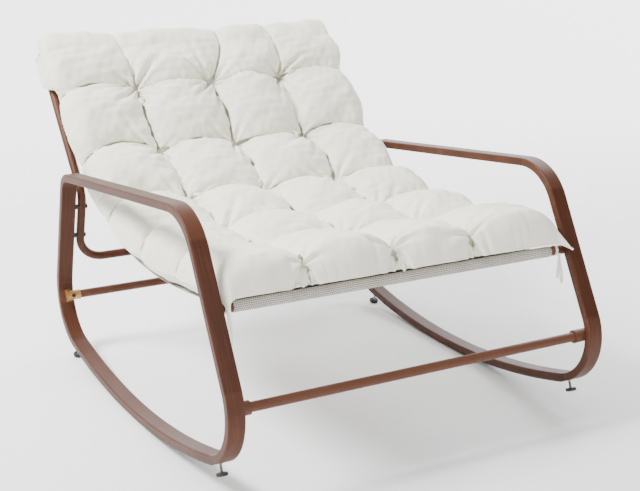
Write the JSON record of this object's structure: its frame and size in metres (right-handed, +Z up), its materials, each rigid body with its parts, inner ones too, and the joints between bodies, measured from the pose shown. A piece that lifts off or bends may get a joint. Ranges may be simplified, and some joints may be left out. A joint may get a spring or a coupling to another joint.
{
  "type": "garden armchair",
  "caption": "Rocking garden armchair: flat-tube side loops with curved rockers, bent tube back frame, mesh sling, one long tufted cushion and screw-in rocker stops.",
  "frame": {"origin": "centre of the bounding box's bottom face, on the ground under the chair at rest", "axes": "+X across the chair towards the sitter's left arm as seen from the front right, +Y from the front edge to the back, +Z up"},
  "size_m": [0.98, 1.3337, 0.8254],
  "materials": {
    "frame_paint": "satin brown, wood look",
    "rubber": "matte",
    "brass": "satin",
    "black_plastic": "matte",
    "black_bolts": "satin black",
    "steel": "satin",
    "sling_mesh": "coated mesh",
    "cushion_cloth": "woven cover"
  },
  "bodies": {
    "chair": {"side_loop_left": "frame_paint", "side_loop_right": "frame_paint", "rocker_strip_left": "rubber", "rocker_strip_right": "rubber", "front_stretcher": "frame_paint", "front_stretcher_collars": "frame_paint", "rear_stretcher": "frame_paint", "rear_stretcher_fittings": "brass", "seat_bar": "frame_paint", "seat_bar_plugs": "black_plastic", "back_frame": "frame_paint", "back_frame_spacers": "black_plastic", "back_frame_bolts": "black_bolts", "top_bar": "frame_paint", "top_bar_plugs": "steel", "top_bar_bolts": "black_bolts", "cross_bolts": "black_bolts", "rivet_nuts": "steel", "leg_rivets": "brass", "foot_inserts": "steel", "sling": "sling_mesh", "cushion": "cushion_cloth", "cushion_ties": "cushion_cloth"},
    "pad_front_left": {"foot_pad_front_left": "rubber"},
    "stem_front_left": {"foot_stem_front_left": "steel"},
    "pad_front_right": {"foot_pad_front_right": "rubber"},
    "stem_front_right": {"foot_stem_front_right": "steel"},
    "pad_rear_left": {"foot_pad_rear_left": "rubber"},
    "stem_rear_left": {"foot_stem_rear_left": "steel"},
    "pad_rear_right": {"foot_pad_rear_right": "rubber"},
    "stem_rear_right": {"foot_stem_rear_right": "steel"}
  },
  "joints": [
    {"name": "foot_travel_front_left", "type": "slide", "parent": "chair", "child": "pad_front_left", "axis": [0, -0.3695, -0.9292], "range_m": [0, 0.01]},
    {"name": "foot_turn_front_left", "type": "hinge", "parent": "pad_front_left", "child": "stem_front_left", "pos_m": [-0.47, -0.58301, 0.07943], "axis": [0, -0.3695, -0.9292], "range_deg": [0, 3604]},
    {"name": "foot_travel_front_right", "type": "slide", "parent": "chair", "child": "pad_front_right", "axis": [0, -0.3695, -0.9292], "range_m": [0, 0.01]},
    {"name": "foot_turn_front_right", "type": "hinge", "parent": "pad_front_right", "child": "stem_front_right", "pos_m": [0.47, -0.58301, 0.07943], "axis": [0, -0.3695, -0.9292], "range_deg": [0, 3604]},
    {"name": "foot_travel_rear_left", "type": "slide", "parent": "chair", "child": "pad_rear_left", "axis": [0, 0.2557, -0.9668], "range_m": [-0.01, 0]},
    {"name": "foot_turn_rear_left", "type": "hinge", "parent": "pad_rear_left", "child": "stem_rear_left", "pos_m": [-0.47, 0.3086, 0.03884], "axis": [0, 0.2557, -0.9668], "range_deg": [-3604, 0]},
    {"name": "foot_travel_rear_right", "type": "slide", "parent": "chair", "child": "pad_rear_right", "axis": [0, 0.2557, -0.9668], "range_m": [-0.01, 0]},
    {"name": "foot_turn_rear_right", "type": "hinge", "parent": "pad_rear_right", "child": "stem_rear_right", "pos_m": [0.47, 0.3086, 0.03884], "axis": [0, 0.2557, -0.9668], "range_deg": [-3604, 0]}
  ],
  "couplings": [
    {"joint": "foot_turn_front_left", "follows": "foot_travel_front_left", "rad_per_m": 6283.2},
    {"joint": "foot_turn_front_right", "follows": "foot_travel_front_right", "rad_per_m": 6283.2},
    {"joint": "foot_turn_rear_left", "follows": "foot_travel_rear_left", "rad_per_m": 6283.2},
    {"joint": "foot_turn_rear_right", "follows": "foot_travel_rear_right", "rad_per_m": 6283.2}
  ]
}
